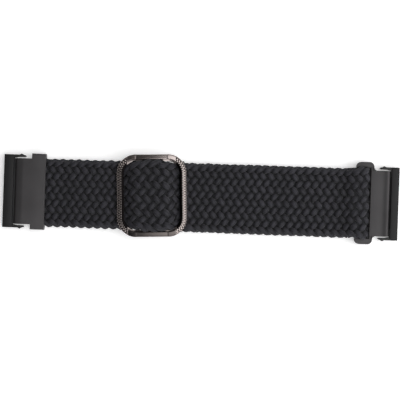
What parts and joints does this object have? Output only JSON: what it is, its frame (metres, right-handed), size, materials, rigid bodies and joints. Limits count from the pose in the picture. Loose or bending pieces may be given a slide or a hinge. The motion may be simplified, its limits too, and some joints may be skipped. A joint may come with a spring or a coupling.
{
  "type": "nylon watch strap",
  "caption": "Braided nylon watch strap with a knurled slider that sets its length and a metal snap-in connector at each end.",
  "frame": {"origin": "middle of the strap's underside, the side towards the wrist", "axes": "+X along the strap towards the looped connector, +Y across it, +Z away from the wrist"},
  "size_m": [0.1172, 0.0244, 0.0061],
  "materials": {
    "braid": "flat braid of multifilament nylon with a slight sheen",
    "thread": "bonded nylon thread",
    "satin_plate": "satin dark grey coating",
    "dark_plate": "matt near-black coating",
    "gunmetal": "polished and knurled dark plating with a rose tint",
    "spring_steel": "darkened spring steel",
    "bright_steel": "turned steel"
  },
  "bodies": {
    "left_end": {"left_end_plate": "satin_plate", "left_end_backplate": "dark_plate", "left_clip_bar": "dark_plate", "left_end_rivets": "bright_steel", "left_clip_rivets": "bright_steel", "strap_left_hem": "braid", "strap_left_run": "braid"},
    "right_end": {"right_loop_plate": "satin_plate", "right_clip_bar": "dark_plate", "right_clip_rivets": "bright_steel", "strap_end_fold": "braid", "strap_top_run": "braid", "strap_return_run": "braid"},
    "slider": {"slider_frame": "gunmetal", "slider_centre_pin": "bright_steel", "strap_slider_bow": "braid", "strap_sewn_loop": "braid", "loop_stitches": "thread", "strap_tail_tip": "thread"},
    "left_arm_upper": {"left_latch_arm_upper": "spring_steel"},
    "left_arm_lower": {"left_latch_arm_lower": "spring_steel"},
    "right_arm_upper": {"right_latch_arm_upper": "spring_steel"},
    "right_arm_lower": {"right_latch_arm_lower": "spring_steel"}
  },
  "joints": [
    {"name": "strap_length", "type": "slide", "parent": "left_end", "child": "right_end", "axis": [1, 0, 0], "range_m": [-0.01, 0.045], "deforming": ["strap_left_run", "strap_top_run"]},
    {"name": "slider_travel", "type": "slide", "parent": "right_end", "child": "slider", "axis": [1, 0, 0], "range_m": [-0.01, 0.045], "deforming": ["strap_return_run"]},
    {"name": "left_upper_latch", "type": "hinge", "parent": "left_end", "child": "left_arm_upper", "pos_m": [-0.05705, 0.01047, 0.0013], "axis": [0, 0, -1], "range_deg": [0, 3.5], "stiffness_Nm_per_rad": 0.15},
    {"name": "left_lower_latch", "type": "hinge", "parent": "left_end", "child": "left_arm_lower", "pos_m": [-0.05705, -0.01047, 0.0013], "axis": [0, 0, 1], "range_deg": [0, 3.5], "stiffness_Nm_per_rad": 0.15},
    {"name": "right_upper_latch", "type": "hinge", "parent": "right_end", "child": "right_arm_upper", "pos_m": [0.05765, 0.01047, 0.0013], "axis": [0, 0, 1], "range_deg": [0, 3.5], "stiffness_Nm_per_rad": 0.15},
    {"name": "right_lower_latch", "type": "hinge", "parent": "right_end", "child": "right_arm_lower", "pos_m": [0.05765, -0.01047, 0.0013], "axis": [0, 0, -1], "range_deg": [0, 3.5], "stiffness_Nm_per_rad": 0.15}
  ],
  "couplings": [
    {"joint": "slider_travel", "follows": "strap_length", "ratio": 1}
  ]
}
